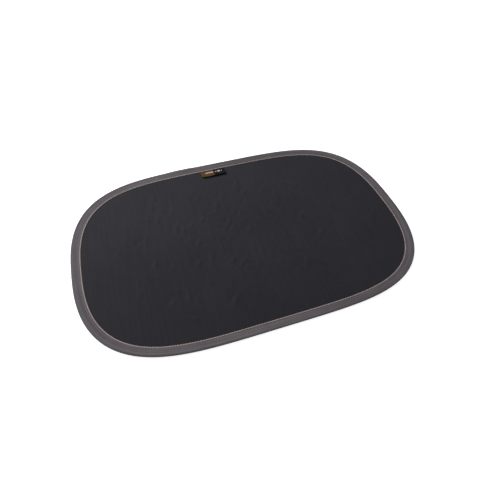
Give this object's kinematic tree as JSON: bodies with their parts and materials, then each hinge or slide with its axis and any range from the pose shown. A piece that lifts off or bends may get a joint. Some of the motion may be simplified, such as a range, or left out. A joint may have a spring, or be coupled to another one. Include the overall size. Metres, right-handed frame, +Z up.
{
  "type": "car side window sunshade",
  "caption": "Pop-open side window sunshade: a dark cloth panel held taut in a rounded rectangular wire hoop with a sewn cloth edge binding and a small label.",
  "frame": {"origin": "on the ground under the middle of the shade, which lies on the side that faces the glass", "axes": "+X along the shade, +Y across it towards the edge with the label, +Z up out of its front"},
  "size_m": [0.5334, 0.3562, 0.0049],
  "materials": {
    "panel_cloth": "matt, finely woven, charcoal",
    "binding_tape": "matt grey tape with a mauve tint and a fine lengthwise rib",
    "spring_wire": "drawn spring steel",
    "sleeve_metal": "crimped steel tube",
    "seam_thread": "twisted polyester, pale orange brown",
    "label_tape": "fine woven strip, black with an orange end"
  },
  "bodies": {
    "root": {"mesh_panel": "panel_cloth", "edge_binding": "binding_tape", "hoop_wire": "spring_wire", "wire_sleeve": "sleeve_metal", "seam_thread_front": "seam_thread", "seam_thread_back": "seam_thread", "woven_label": "label_tape"}
  },
  "joints": []
}
